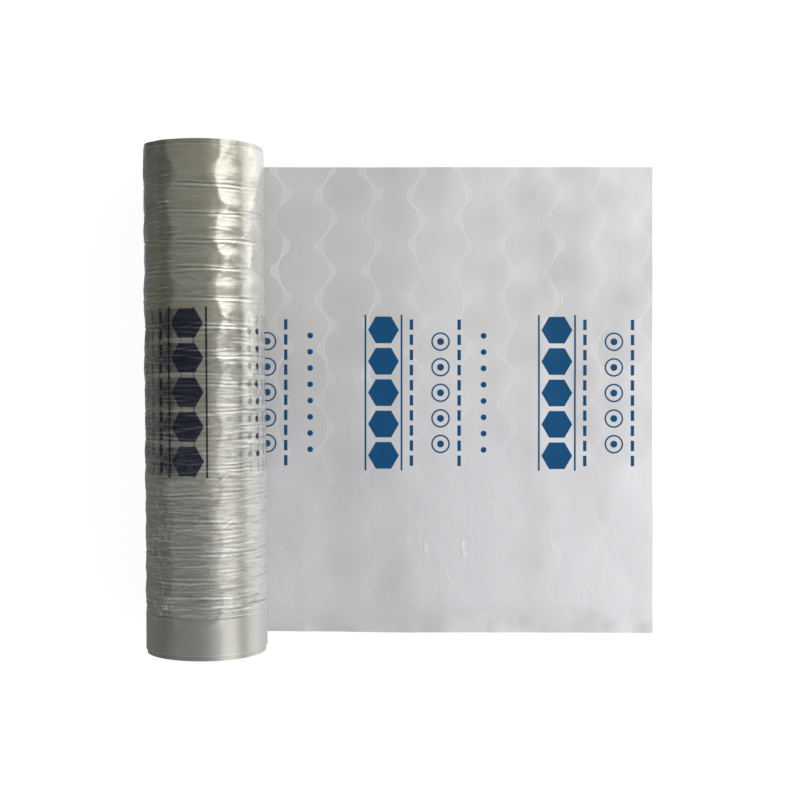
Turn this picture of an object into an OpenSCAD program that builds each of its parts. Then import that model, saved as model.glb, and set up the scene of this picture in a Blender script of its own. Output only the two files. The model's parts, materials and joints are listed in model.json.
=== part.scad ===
// Roll of air pillow film, lying on a table with its web drawn out flat.
// The roll lies along Y. The web leaves it at the bottom and runs along +X.
// The origin is on the table, under the middle of the whole length.

/* [Film web] */
// Width of the web, from edge to edge
web_w = 400; // [300:5:800]
// Diameter over the wound turns
roll_d = 98; // [84:1:300]
// Length drawn out, from the line where the roll rests to the cut edge
drawn_len = 376; // [300:1:900]
// Width of the flat that the soft roll rests on
flat_w = 14; // [6:1:24]
// Thickness of the web where its two plies are welded
weld_t = 0.3; // [0.2:0.05:1]
// Height of a slack air cell above the welds
cell_rise = 0.5; // [0.1:0.05:1]

/* [Weld pattern] */
// Distance between air cells, across the web
cell_pitch = 44.6; // [40:0.1:60]
// Distance between columns of cells, along the web
column_pitch = 39.2; // [38:0.1:60]
// Diameter of an air cell
cell_d = 43.2; // [30:0.1:43.4]
// Width of the neck that joins the cells of a column
neck_w = 22; // [8:0.5:26]
// Distance from the cut edge to the first column
first_column = 25.7; // [22:0.1:40]
// Distance from the far edge of the web to the first cell
first_cell = 23.2; // [22.3:0.1:40]
// Width of the air channel along the near edge
channel_w = 25; // [10:1:40]
// Width of the welded hem round the drawn-out web
hem_w = 1.5; // [0.5:0.5:4]

/* [Wound turns] */
// Distance between the waists pinched round the roll
waist_pitch = 22.2; // [15:0.1:40]
// Distance from the far end to the first waist
first_waist = 31; // [10:1:45]
// Half width of a waist
waist_half_w = 1.6; // [0.5:0.1:4]
// Depth of a waist
waist_depth = 0.8; // [0.2:0.1:1.5]
// Thickness of the turns that wander together along the core
turn_step = 1.2; // [0.8:0.1:4]
// Furthest that turns lie out past the ends of the core
turn_wander = 4.3; // [0.5:0.1:6]

/* [Core] */
// Bore of the paper core
core_bore = 50.8; // [25:0.1:60]
// Wall of the paper core
core_wall = 3.6; // [1:0.1:8]
// Gap between the core and the innermost turn
core_gap = 0.3; // [0.2:0.05:1]

/* [Print] */
// Distance between repeats of the print, along the web
print_pitch = 149; // [145:1:200]
// Distance from the cut edge to the first repeat
print_offset = 82; // [80:1:110]
// Distance of the print's middle from the middle of the web
print_y = 6; // [-30:1:30]
// Slack web that the print gains on its way into the roll
print_lag = 6; // [-12:1:12]
// Thickness of the ink
ink_t = 0.12; // [0.05:0.01:0.4]
// Size of a printed hexagon across its flats
hex_size = 23; // [15:1:26]
// Distance between hexagons
hex_pitch = 27; // [27:1:32]
// Distance of a rule from the middle of the hexagons
rule_offset = 15.5; // [14.5:0.5:18]
// Width of a rule
rule_w = 1.6; // [0.8:0.1:2.5]
// Length of a rule
rule_len = 134; // [100:1:150]
// Distance of the dashes from the middle of the hexagons
dash_offset = 24; // [22:1:28]
// Width of a dash
dash_w = 3; // [1:0.5:5]
// Length of a dash
dash_len = 9; // [4:1:11]
// Distance between dashes
dash_pitch = 13; // [12:1:16]
// Distance of the rings from the middle of the hexagons
ring_offset = 49; // [38:1:58]
// Diameter of a ring
ring_d = 16; // [10:1:18]
// Width of a ring's line
ring_line = 1.4; // [0.6:0.1:2.5]
// Diameter of the dot in a ring
ring_dot = 6; // [3:0.5:8]
// Distance between rings
ring_pitch = 22; // [19:1:30]
// Distance of the spots from the middle of the hexagons
spot_offset = 86; // [80:1:100]
// Diameter of a spot
spot_d = 5; // [2:0.5:8]
// Distance between spots
spot_pitch = 14; // [9:1:16]

/* [Hidden] */
roll_r = roll_d / 2;
axis_z = sqrt(roll_r * roll_r - flat_w * flat_w / 4);
total_len = roll_r + drawn_len;
axis_x = roll_r - total_len / 2;
cut_x = axis_x + drawn_len;
far_y = web_w / 2;
web_top = weld_t + cell_rise;
core_r = core_bore / 2 + core_wall;
bore_r = core_r + core_gap;
// The cells begin where the underside of the roll has risen clear of them.
cells_from = axis_x + sqrt(roll_r * roll_r - pow(axis_z - 2 * web_top, 2));
column_count = ceil(drawn_len / column_pitch) + 1;
waist_count = floor((web_w - first_waist - channel_w) / waist_pitch) + 1;
step_count = max(2, floor((roll_r - waist_depth - bore_r) / turn_step));
// Angle that makes neighbouring steps wander to opposite sides, and the outermost not at all.
wander_angle = 150;
hex_count = 5;
dash_count = 10;
ring_count = 5;
spot_count = 8;
repeat_count = ceil((drawn_len + PI * roll_d) / print_pitch);
// A column of print this close to the resting line is hidden under the roll.
print_clear_angle = 32;
// How far a cut runs past the faces that it goes through.
cut_over = 1;
round_fn = 120;
cell_fn = 48;

// How far step i of the turns has wandered along the roll.
function wander(i) = turn_wander * sin((step_count - 1 - i) * wander_angle);
// Radius where step i of the turns begins.
function step_r(i) = bore_r + (roll_r - waist_depth - bore_r) * i / step_count;
// Corners of the steps at one end, as radius and place along the roll.
function end_steps(side) = [
    for (i = [0 : step_count - 1])
        each [
            [step_r(i), side * far_y + wander(i)],
            [step_r(i + 1), side * far_y + wander(i)],
        ]
];
// Corners of the waists, from the far end to the near one.
function waists() = [
    for (k = [0 : waist_count - 1])
        each [
            [roll_r, far_y - first_waist - k * waist_pitch + waist_half_w],
            [roll_r - waist_depth, far_y - first_waist - k * waist_pitch],
            [roll_r, far_y - first_waist - k * waist_pitch - waist_half_w],
        ]
];
function reversed(list) = [for (i = [len(list) - 1 : -1 : 0]) list[i]];
// Angle round the roll, from the resting line, of a place along the web.
function wound_angle(u) = (u - print_lag - drawn_len) / roll_r * 180 / PI;

// Turns its children from along Z to along Y, about the roll's axis.
module along_roll() translate([axis_x, 0, axis_z]) rotate([-90, 0, 0]) children();

// The wound turns: wandering at the ends, pinched at the waists, flat where they rest.
module wound_turns() {
    outline = concat(
        end_steps(1),
        [[roll_r, far_y]],
        waists(),
        [[roll_r, -far_y]],
        reversed(end_steps(-1))
    );
    difference() {
        along_roll() rotate_extrude($fn = round_fn) polygon(outline);
        translate([axis_x - roll_r, -web_w, -roll_r]) cube([roll_d, 2 * web_w, roll_r]);
    }
}

// One column of air cells across the web, chained by its open necks.
module cell_column(start) {
    square([neck_w, web_w], center = true);
    for (y = [far_y - start : -cell_pitch : -far_y]) translate([0, y]) circle(d = cell_d, $fn = cell_fn);
}

// All places where the two plies stay apart: the cells, their necks and the air channel.
module open_plies() {
    for (i = [-1 : column_count])
        translate([cut_x - first_column - i * column_pitch, 0])
            cell_column(i % 2 == 0 ? first_cell : first_cell - cell_pitch / 2);
    translate([axis_x, -far_y]) square([drawn_len, channel_w]);
}

// The web drawn out on the table, thin at its welds and a little thicker over its cells.
module drawn_web() {
    translate([axis_x, -far_y, 0]) cube([drawn_len, web_w, weld_t]);
    linear_extrude(web_top) intersection() {
        translate([cells_from, -far_y + hem_w]) square([cut_x - hem_w - cells_from, web_w - 2 * hem_w]);
        open_plies();
    }
}

module film() color("lightgray") {
    union() {
        wound_turns();
        drawn_web();
    }
}

module core_tube() color("peru")
    along_roll() difference() {
        cylinder(r = core_r, h = web_w, center = true, $fn = round_fn);
        cylinder(d = core_bore, h = web_w + 2 * cut_over, center = true, $fn = round_fn);
    }

// Puts count copies of its children in a row across the web, pitch apart.
module row(count, pitch)
    for (k = [0 : count - 1]) translate([0, print_y + (k - (count - 1) / 2) * pitch]) children();

module hexagons() row(hex_count, hex_pitch) circle(d = hex_size / cos(30), $fn = 6);
module rule() row(1, 0) square([rule_w, rule_len], center = true);
module dashes() row(dash_count, dash_pitch) square([dash_w, dash_len], center = true);
module rings() row(ring_count, ring_pitch) {
    difference() {
        circle(d = ring_d, $fn = cell_fn);
        circle(d = ring_d - 2 * ring_line, $fn = cell_fn);
    }
    circle(d = ring_dot, $fn = cell_fn);
}

module spots() row(spot_count, spot_pitch) circle(d = spot_d, $fn = cell_fn);

// Columns of the print: distance towards the cut edge, half width and kind.
PRINT_COLUMNS = [
    [-rule_offset, rule_w / 2, "rule"],
    [0, hex_size / cos(30) / 2, "hexagons"],
    [rule_offset, rule_w / 2, "rule"],
    [dash_offset, dash_w / 2, "dashes"],
    [ring_offset, ring_d / 2, "rings"],
    [ring_offset + ring_d, dash_w / 2, "dashes"],
    [spot_offset, spot_d / 2, "spots"],
];

module print_column(kind) {
    if (kind == "rule") rule();
    if (kind == "hexagons") hexagons();
    if (kind == "dashes") dashes();
    if (kind == "rings") rings();
    if (kind == "spots") spots();
}

// A column printed on the drawn-out web, u from the cut edge.
module flat_ink(u, kind)
    translate([cut_x - u, 0, web_top]) linear_extrude(ink_t) print_column(kind);

// A column printed on the wound turns, u from the cut edge.
module wound_ink(u, kind)
    translate([axis_x, 0, axis_z]) rotate([0, 180 + wound_angle(u), 0]) intersection() {
        rotate([90, 0, 0]) difference() {
            cylinder(r = roll_r + ink_t, h = web_w, center = true, $fn = round_fn);
            cylinder(r = roll_r, h = web_w + 2 * cut_over, center = true, $fn = round_fn);
        }
        translate([0, 0, roll_r / 2]) linear_extrude(roll_r) print_column(kind);
    }

module printed_marks() color("steelblue")
    for (n = [0 : repeat_count], column = PRINT_COLUMNS) {
        u = print_offset + n * print_pitch - column[0];
        angle = wound_angle(u);
        if (u - column[1] > 0 && cut_x - u - column[1] > cells_from) flat_ink(u, column[2]);
        if (angle > print_clear_angle && angle < 360 - print_clear_angle) wound_ink(u, column[2]);
    }

film();
core_tube();
printed_marks();
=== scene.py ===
# %% [markdown]
# # A roll of air pillow film
#
# The object is a web of clear film, two plies welded into a pattern of slack air cells,
# wound on a paperboard core. Its last stretch lies drawn out on the table. The packed
# model gives every size and place. This lesson makes the surfaces: the crinkled turns,
# the thin drawn-out web, the paper core, and the print that runs on from one to the other.

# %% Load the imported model
import json
import math
import bpy
import numpy as np
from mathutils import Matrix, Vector


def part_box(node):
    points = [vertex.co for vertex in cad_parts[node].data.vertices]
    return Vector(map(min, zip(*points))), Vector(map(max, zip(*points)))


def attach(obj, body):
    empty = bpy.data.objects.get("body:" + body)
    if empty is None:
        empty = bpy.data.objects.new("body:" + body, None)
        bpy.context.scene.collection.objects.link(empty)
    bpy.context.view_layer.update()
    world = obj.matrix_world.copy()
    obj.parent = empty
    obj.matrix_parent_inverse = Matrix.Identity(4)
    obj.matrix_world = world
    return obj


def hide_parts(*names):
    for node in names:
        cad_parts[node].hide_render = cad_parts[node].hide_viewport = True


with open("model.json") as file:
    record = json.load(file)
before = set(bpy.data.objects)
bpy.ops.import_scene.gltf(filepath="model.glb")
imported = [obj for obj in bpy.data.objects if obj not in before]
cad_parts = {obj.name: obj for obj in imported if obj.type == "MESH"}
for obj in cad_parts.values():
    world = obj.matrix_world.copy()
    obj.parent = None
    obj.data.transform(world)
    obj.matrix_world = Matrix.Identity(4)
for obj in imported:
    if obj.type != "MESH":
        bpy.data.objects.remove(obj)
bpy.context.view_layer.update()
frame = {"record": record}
MM = 0.001
_, film_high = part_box("film")
core_low, core_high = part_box("core_tube")
core_mount = next(m for m in frame["record"]["mounts"] if m["name"] == "core_bore")

WEB_W = core_high.y - core_low.y
TURN_WANDER = film_high.y - WEB_W / 2
CUT_X = film_high.x
AXIS_X = core_mount["pos_m"][0]
AXIS_Z = core_mount["pos_m"][2]
ROLL_R = film_high.z - AXIS_Z
DRAWN_LEN = CUT_X - AXIS_X
BORE_R = core_mount["dims"]["r_mm"] * MM
CORE_R = (core_high.z - core_low.z) / 2
CORE_GAP = 0.3 * MM
print(f"web {WEB_W / MM:.0f} mm wide, {DRAWN_LEN / MM:.0f} mm drawn out")
print(f"roll {2 * ROLL_R / MM:.0f} mm across")

# %% [markdown]
# ## Where a point of the web lies
#
# Everything on the film follows the web and not the table: welds, print and creases run
# from the cut edge, under the roll and on round it. So each point gets two web
# coordinates in metres. u is the length of web between it and the cut edge, and v is its
# place across the web, from the middle towards the far edge. The roll's coordinates start
# where the drawn-out web's end, plus the slack that the web gains on its way in.

# %% Web coordinates
WEB_SLACK = 6 * MM
TURN_LENGTH = 2 * math.pi * ROLL_R


def wound_u(angle):
    """Length of web from the cut edge to a point at this angle round the roll from its resting line."""
    return DRAWN_LEN + WEB_SLACK + angle * ROLL_R


# %% [markdown]
# ## The weld pattern
#
# The two plies are welded round columns of circular cells. Within a column the cells are
# chained by open necks, and each column is half a cell out of step with the next, so the
# welds are scalloped lines with small three-sided lands. One signed distance describes
# it: below zero where the plies are apart, above zero in the weld. Numpy uses it to shape
# the film here, and the material works out the same distance for its colour.

# %% Distance from the welds
COLUMN_PITCH = 39.2 * MM
CELL_PITCH = 44.6 * MM
CELL_R = 22 * MM
NECK_HALF_W = 11 * MM
FIRST_COLUMN = 25.7 * MM
FIRST_CELL = 23.2 * MM
CHANNEL_W = 25 * MM


def weld_distance(u, v):
    """The least distance to the cells and necks of the columns beside a point, and to the channel."""
    place = (u - FIRST_COLUMN) / COLUMN_PITCH
    column = np.floor(place)
    after = (place - column) * COLUMN_PITCH
    before = COLUMN_PITCH - after
    rows = (WEB_W / 2 - v - FIRST_CELL + (column % 2) * CELL_PITCH / 2) / CELL_PITCH
    across = np.abs(rows - np.round(rows)) * CELL_PITCH
    cells = np.minimum(np.hypot(after, across), np.hypot(before, CELL_PITCH / 2 - across)) - CELL_R
    necks = np.minimum(after, before) - NECK_HALF_W
    channel = v + WEB_W / 2 - CHANNEL_W
    return np.minimum(np.minimum(cells, necks), channel)


# %% [markdown]
# ## Crinkles
#
# Thin film never lies smooth. Two kinds of unevenness are enough to describe it: soft
# swells, which are random heights on a lattice blended into each other, and tucks, which
# are short straight creases with a sharp ridge. Both come from one seeded generator, so
# each run gives the same film.

# %% Swells and tucks
rng = np.random.default_rng(7)
LATTICE = 64


def swells(u, v, size_u, size_v, length_u=None):
    """Random heights from -1 to 1 at points size_u by size_v apart, blended with an S-curve."""
    count_u = LATTICE if length_u is None else max(2, round(length_u / size_u))
    step_u = size_u if length_u is None else length_u / count_u
    heights = rng.uniform(-1, 1, (count_u, LATTICE))
    a = np.asarray(u) / step_u
    b = np.asarray(v) / size_v + LATTICE // 2
    i = np.floor(a).astype(int)
    j = np.floor(b).astype(int)
    p = a - i
    q = b - j
    p = p * p * (3 - 2 * p)
    q = q * q * (3 - 2 * q)
    i_next = (i + 1) % count_u
    j_next = (j + 1) % LATTICE
    i = i % count_u
    j = j % LATTICE
    low = heights[i, j] * (1 - p) + heights[i_next, j] * p
    high = heights[i, j_next] * (1 - p) + heights[i_next, j_next] * p
    return low * (1 - q) + high * q


def tucks(u, v, places, length_u=None):
    """Sum of creases, each a roof across its line that fades to nothing at its two ends.

    A place is (u, v, length, half width, slant, height). Slant is the angle from the u direction.
    """
    total = np.zeros(np.broadcast(u, v).shape)
    for at_u, at_v, length, half_w, slant, height in places:
        du = u - at_u
        if length_u:
            du = du - length_u * np.round(du / length_u)
        dv = v - at_v
        along = (du * math.cos(slant) + dv * math.sin(slant)) / (length / 2)
        aside = np.abs(dv * math.cos(slant) - du * math.sin(slant)) / half_w
        total += height * np.clip(1 - along * along, 0, 1) * np.clip(1 - aside, 0, 1)
    return total


def random_tucks(count, u_range, v_range, lengths, half_ws, slants, heights):
    """Places of count creases, each value drawn evenly between its two limits."""
    limits = (u_range, v_range, lengths, half_ws, slants, heights)
    return np.column_stack([rng.uniform(low, high, count) for low, high in limits])


# %% [markdown]
# ## From a grid of points to a piece
#
# Each surface is a grid of points worked out at once. A grid that closes on itself in a
# direction joins its last row to its first. The web coordinates are kept as a UV map
# named web. They are given per corner of a face, because round the roll they run on
# past the joint, where a value per point would jump back.

# %% Grid helpers
SHARP_ANGLE = math.radians(55)


def grid_quads(rows, columns, close_rows=False, close_columns=False):
    """Rows and columns of each quad's corners, running on past the joint before they are wrapped."""
    r, c = np.meshgrid(
        np.arange(rows if close_rows else rows - 1),
        np.arange(columns if close_columns else columns - 1),
        indexing="ij",
    )
    r = r.ravel()
    c = c.ravel()
    return np.stack([r, r + 1, r + 1, r], axis=1), np.stack([c, c, c + 1, c + 1], axis=1)


def make_piece(name, points, faces, corner_uv=None, smooth=True, crest=None):
    """A mesh object of that name. Web coordinates come per corner and crests per point, if given; the
    crests are for painted highlights and shade.
    """
    mesh = bpy.data.meshes.new(name)
    mesh.from_pydata(points.tolist(), [], faces)
    mesh.polygons.foreach_set("use_smooth", np.full(len(mesh.polygons), smooth))
    if corner_uv is not None:
        layer = mesh.uv_layers.new(name="web")
        layer.data.foreach_set("uv", np.asarray(corner_uv, dtype=np.float32).ravel())
    if crest is not None:
        values = mesh.attributes.new("crest", "FLOAT", "POINT")
        values.data.foreach_set("value", np.asarray(crest, dtype=np.float32).ravel())
    mesh.update()
    mesh.set_sharp_from_angle(angle=SHARP_ANGLE)
    piece = bpy.data.objects.new(name, mesh)
    bpy.context.scene.collection.objects.link(piece)
    print(f"{name}: {len(points)} points, {sum(len(f) - 2 for f in faces)} triangles")
    return piece


# %% [markdown]
# ## The wound turns
#
# On the real roll some sixty turns lie on each other, and only the outermost shows, lifted
# by what lies below. It is stiffer along its welds, so it isn't quite round: each column of
# cells lies a little flatter than the circle, and the welds stand out between them as
# blunt zigzag ridges. Waists pinch it every 22 mm, where the turns are drawn tighter, and
# they wander and come and go. Past the middle it is gathered into many fine tucks that run
# round the roll. The air channel along the near edge has no welds and stays smooth. All of
# this is one height, added to the radius as a function of the angle round the roll and the
# place along it.

# %% Height of the outermost turn
RIDGE_H = 0.66 * MM
RIDGE_RISE = 0.26 * MM
WAIST_PITCH = 22.2 * MM
FIRST_WAIST = 31 * MM
WAIST_COUNT = 16
WAIST_DEPTH = 0.55 * MM
BAND_CROWN = 0.3 * MM
PULL = 5 * MM


def fade(value, low, high):
    """0 up to low, 1 from high on, and an S-curve between them."""
    share = np.clip((value - low) / (high - low), 0, 1)
    return share * share * (3 - 2 * share)


def waist_height(angle, y):
    """Grooves across the roll with a sharp bottom and a small lip, that wander and come and go."""
    total = np.zeros(angle.shape)
    for k in range(WAIST_COUNT):
        middle = WEB_W / 2 - FIRST_WAIST - k * WAIST_PITCH
        for strand in range(3):
            start = rng.uniform(0, 2 * math.pi, 3)
            drift = 0.9 * MM * np.sin(angle + start[0]) + 0.5 * MM * np.sin(3 * angle + start[1])
            gate = fade(np.sin((2 + strand) * angle + start[2]), -0.5, 0.7)
            offset = (strand - 1) * rng.uniform(1.6, 3.2) * MM
            depth = WAIST_DEPTH * (1 if strand == 1 else 0.35) * (0.15 + 0.85 * gate)
            aside = np.abs(y - middle - offset - drift)
            total -= depth * np.clip(1 - aside / (1.2 * MM), 0, 1)
            total += 0.3 * depth * np.clip(1 - np.abs(aside - 2.1 * MM) / (1.1 * MM), 0, 1)
    return total


def turn_height(angle, y):
    """How far the outermost turn stands out from a plain cylinder.

    The ridge falls from the weld to the middle of a cell as the square of the way that is left.
    """
    u = wound_u(angle)
    near = -WEB_W / 2 + CHANNEL_W
    past_channel = fade(y, near, near + 6 * MM)
    in_cells = past_channel * fade(-y, -WEB_W / 2 + 4 * MM, -WEB_W / 2 + 30 * MM)
    middle = 1 - fade(y, -10 * MM, 60 * MM)
    pulled_u = u + PULL * swells(u, y, 14 * MM, 10 * MM, TURN_LENGTH)
    pulled_y = y + PULL * swells(u, y, 13 * MM, 12 * MM, TURN_LENGTH)
    way_left = 1 - np.clip(-weld_distance(pulled_u, pulled_y) / CELL_R, 0, 1)
    uneven = 1 + 0.7 * swells(u, y, 30 * MM, 24 * MM, TURN_LENGTH)
    ridges = RIDGE_H * uneven * (0.7 * way_left ** 2 + 0.3 * way_left ** 8) - RIDGE_H + RIDGE_RISE
    band = np.cos(2 * math.pi * (WEB_W / 2 - FIRST_WAIST - y) / WAIST_PITCH)
    height = ridges * past_channel * (1 - 0.92 * middle)
    height -= BAND_CROWN * 0.5 * (1 + band) * in_cells
    height += waist_height(angle, y) * in_cells * (1 - 0.35 * middle)
    height += 0.35 * MM * swells(u, y, 38 * MM, 30 * MM, TURN_LENGTH)
    height += 0.3 * MM * swells(u, y, 22 * MM, 8 * MM, TURN_LENGTH) * in_cells
    height += 0.16 * MM * swells(u, y, 26 * MM, 2.8 * MM, TURN_LENGTH) * in_cells * (0.3 + 0.9 * middle)
    return height + in_cells * crinkles(u, y)


# Tucks that catch the light, in degrees and millimetres: (angle, y, length, half width, slant, height).
# The slant is in radians.
SHINING_TUCKS = np.array([
    (151, 176.0, 13.0, 0.9, 0.05, 0.5),
    (150, 155.0, 16.0, 0.9, -0.07, 0.55),
    (157, 131.0, 15.0, 0.9, 0.05, 0.4),
    (154, 108.5, 15.0, 0.9, -0.05, 0.5),
    (148, 88.0, 12.0, 0.9, 0.04, 0.4),
    (203, 120.0, 13.0, 1.0, 0.5, 0.45),
    (207, 66.0, 12.0, 1.0, -0.45, 0.45),
    (205, -62.0, 16.0, 1.1, 0.75, 0.5),
    (208, -98.0, 14.0, 1.1, 0.7, 0.5),
]) * np.array([math.radians(1) * ROLL_R, MM, MM, MM, 1, MM]) + np.array([wound_u(0), 0, 0, 0, 0, 0])


def crinkles(u, y):
    """Tucks of the outermost turn: many fine ones in the near half, short and slanting elsewhere."""
    every_u = (0, TURN_LENGTH)
    fine = random_tucks(
        760, every_u, (-175 * MM, 45 * MM), (8 * MM, 46 * MM), (0.8 * MM, 1.4 * MM), (-0.1, 0.1),
        (-0.22 * MM, 0.32 * MM),
    )
    upper = random_tucks(
        300, every_u, (20 * MM, 178 * MM), (6 * MM, 30 * MM), (0.8 * MM, 1.6 * MM), (-0.16, 0.16),
        (-0.18 * MM, 0.26 * MM),
    )
    slanting = random_tucks(
        80, every_u, (-170 * MM, 170 * MM), (7 * MM, 24 * MM), (1.2 * MM, 2.2 * MM), (0.35, 1.2),
        (-0.2 * MM, 0.4 * MM),
    )
    leaning = random_tucks(
        70, every_u, (-170 * MM, 120 * MM), (7 * MM, 22 * MM), (1.2 * MM, 2.2 * MM), (-1.2, -0.35),
        (-0.2 * MM, 0.4 * MM),
    )
    left_side = (wound_u(math.radians(112)), wound_u(math.radians(160)))
    dragged = random_tucks(
        16, left_side, (-160 * MM, -50 * MM), (20 * MM, 50 * MM), (2.4 * MM, 3.2 * MM), (-1.4, -1.0),
        (0.3 * MM, 0.7 * MM),
    )
    places = np.concatenate([fine, upper, slanting, leaning, dragged, SHINING_TUCKS])
    return tucks(u, y, places, TURN_LENGTH)


# %% [markdown]
# ## One closed skin for the roll
#
# The whole roll is a profile carried round the axis: along the outside, in over the near
# end, back through the bore and out over the far end. The ends are where a roll shows
# that it is wound. Each bundle of turns has wandered a few millimetres to one side, out at
# one end and in at the other, so the end rows come in pairs, one pair for each bundle. The
# outermost turn is a thin one in the middle, and its two edges show as a fine line round
# the roll: a small step with a painted highlight along it and painted shade just past it.
# Where the roll rests it is pressed flat.

# %% Build the roll
ANGLES = 128
OUTER_ROWS = 561
END_STEPS = 27
OUTER_WANDER = (0.0, 1.0, -1.0, 0.7, -0.6)
THIN_TURN = 0.02
WANDER_MOST = 0.8
FLAT_GAP = 0.05 * MM
BORE_ROWS = 6
LOOSE_SHIFT = 1.5 * MM
CREST_REACH = 2
CREST_FULL = 0.2 * MM
EDGE_PAINTED_HIGHLIGHT = 0.9
EDGE_SHADE = 0.3
FAR_LEAN = (2.3 * MM, 1.2 * MM)
NEAR_LEAN = (0.5 * MM, 0.5 * MM)


def bundles():
    """Radial share, wander and sway of an end's rows, from the outside in. Two rows make one bundle."""
    thick = np.full(END_STEPS, (1 - THIN_TURN) / (END_STEPS - 1))
    thick[0] = THIN_TURN
    share = np.repeat(np.concatenate([[1.0], 1 - np.cumsum(thick)]), 2)[1:-1]
    wander = rng.uniform(-WANDER_MOST, WANDER_MOST, END_STEPS)
    wander[:len(OUTER_WANDER)] = OUTER_WANDER
    sway = rng.uniform(0, 2 * math.pi, END_STEPS)
    return share, np.repeat(wander, 2), np.repeat(sway, 2)


def end_lean(around, along):
    """How far the turns lean out at the roll's two sides, and not at its crown and resting line."""
    aside = 1 - np.abs(np.cos(around))
    far = FAR_LEAN[0] + FAR_LEAN[1] * np.sin(around)
    near = NEAR_LEAN[0] + NEAR_LEAN[1] * np.sin(around)
    return aside * (far * fade(along, 0, WEB_W / 2) - near * fade(-along, 0, WEB_W / 2))


def crests(height, reach, full):
    """From 0 in the valleys of a height grid to 1 on its crests, found along the first axis."""
    padded = np.pad(height, ((reach, reach), (0, 0)), mode="edge")
    sums = np.cumsum(np.pad(padded, ((1, 0), (0, 0))), axis=0)
    smooth = (sums[2 * reach + 1:] - sums[:-2 * reach - 1]) / (2 * reach + 1)
    return 0.5 + 0.5 * np.clip((height - smooth) / full, -1, 1)


def roll_points():
    """Points of the closed profile carried round the axis, its rows' radial shares, and the crests."""
    angle = np.arange(ANGLES) * 2 * math.pi / ANGLES
    share, wander, sway = bundles()
    outer_y = np.linspace(WEB_W / 2, -WEB_W / 2, OUTER_ROWS)
    bore_y = np.linspace(-WEB_W / 2, WEB_W / 2, BORE_ROWS + 2)[1:-1]
    flat = np.zeros(OUTER_ROWS)
    bore = np.zeros(BORE_ROWS)
    ends = np.full(len(share), WEB_W / 2)
    share = np.concatenate([flat + 1, share, bore, share[::-1]])
    wander = np.concatenate([flat, wander, bore, wander[::-1]])
    sway = np.concatenate([flat, sway, bore, sway[::-1]])
    y = np.concatenate([outer_y, -ends, bore_y, ends])

    around, along = np.meshgrid(angle, y)
    height = turn_height(around, along)
    place = along + TURN_WANDER * wander[:, None] * (0.88 + 0.12 * np.sin(around + sway[:, None]))
    place += end_lean(around, along) * share[:, None]
    inner_r = CORE_R + CORE_GAP
    radius = inner_r + (ROLL_R + height - inner_r) * share[:, None]
    shift = -LOOSE_SHIFT * (along / (WEB_W / 2)) * share[:, None]
    x = AXIS_X - radius * np.sin(around) + shift
    z = np.maximum(AXIS_Z - radius * np.cos(around), FLAT_GAP * (2 - share[:, None]))
    # Crests for painted highlights and shade on the roll.
    crest = np.full(height.shape, 0.5)
    crest[:OUTER_ROWS] = crests(height[:OUTER_ROWS], CREST_REACH, CREST_FULL)
    # Painted highlight along the outer turn's two edges, and painted shade on the end rows just past
    # them.
    crest[[0, OUTER_ROWS - 1]] = EDGE_PAINTED_HIGHLIGHT
    crest[[OUTER_ROWS, OUTER_ROWS + 1, OUTER_ROWS + 2, -1, -2, -3]] = EDGE_SHADE
    return np.stack([x, place, z], axis=-1), share, crest


points, row_share, roll_crest_for_painted_light = roll_points()
profile_rows = len(row_share)
row, column = grid_quads(profile_rows, ANGLES, close_rows=True, close_columns=True)
corner_id = (row % profile_rows) * ANGLES + column % ANGLES
corner_u = wound_u(column * 2 * math.pi / ANGLES)
corner_v = points[..., 1].ravel()[corner_id]
film_roll = make_piece(
    "film_roll",
    points.reshape(-1, 3),
    corner_id[:, ::-1].tolist(),
    np.stack([corner_u, corner_v], axis=-1)[:, ::-1],
    crest=roll_crest_for_painted_light,
)
is_edge = row_share[row[:, 0]] != row_share[row[:, 1] % profile_rows]
film_roll.data.polygons.foreach_set("material_index", is_edge.astype(np.int32))

# %% [markdown]
# ## The drawn-out web
#
# The web on the table is two plies, a closed pocket a fraction of a millimetre high. Its
# top is finely gridded, because every weld, tuck and swell shows in how it takes the
# light. The underside follows the same slow lift but needs only a quarter of the rows,
# so the narrow walls between them are faces with four short edges above and one below.

# %% Build the drawn-out web
WEB_COLUMNS = 276
WEB_ROWS = 296
COARSE = 4
WELD_T = 0.3 * MM
CELL_RISE = 0.5 * MM
LIFT = 1.1 * MM
REST_GAP = 0.15 * MM
GATHER = 1.8 * MM
RIPPLE = 1.3 * MM
CREASE_FULL = 0.55 * MM


def web_lift(u, v):
    """Slow lift of the web off the table, nothing under the roll."""
    waves = swells(u, v, 70 * MM, 55 * MM) + 0.5 * swells(u, v, 30 * MM, 34 * MM)
    near_roll = fade(u, DRAWN_LEN - 60 * MM, DRAWN_LEN - 20 * MM)
    by_edge = fade(-v, WEB_W / 2 - 16 * MM, WEB_W / 2)
    waves = waves * (1 + 0.9 * fade(-v, 40 * MM, 110 * MM))
    ripples = RIPPLE * np.clip(0.25 + swells(u, v, 15 * MM, 60 * MM), 0, 1) * by_edge
    return REST_GAP + (LIFT * np.clip(waves + 0.5, 0, 2.6) + ripples) * (1 - near_roll)


def web_puff(u, v):
    """How far the plies stand apart: unevenly filled domes over the cells, nothing in the welds."""
    inside = np.clip(-weld_distance(u, v) / CELL_R, 0, 1)
    slack = 0.55 + 0.45 * swells(u, v, 45 * MM, 45 * MM)
    edge = np.minimum(np.minimum(u, DRAWN_LEN - u), WEB_W / 2 - np.abs(v))
    return CELL_RISE * slack * inside ** 0.6 * fade(edge, 0, 8 * MM)


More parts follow.
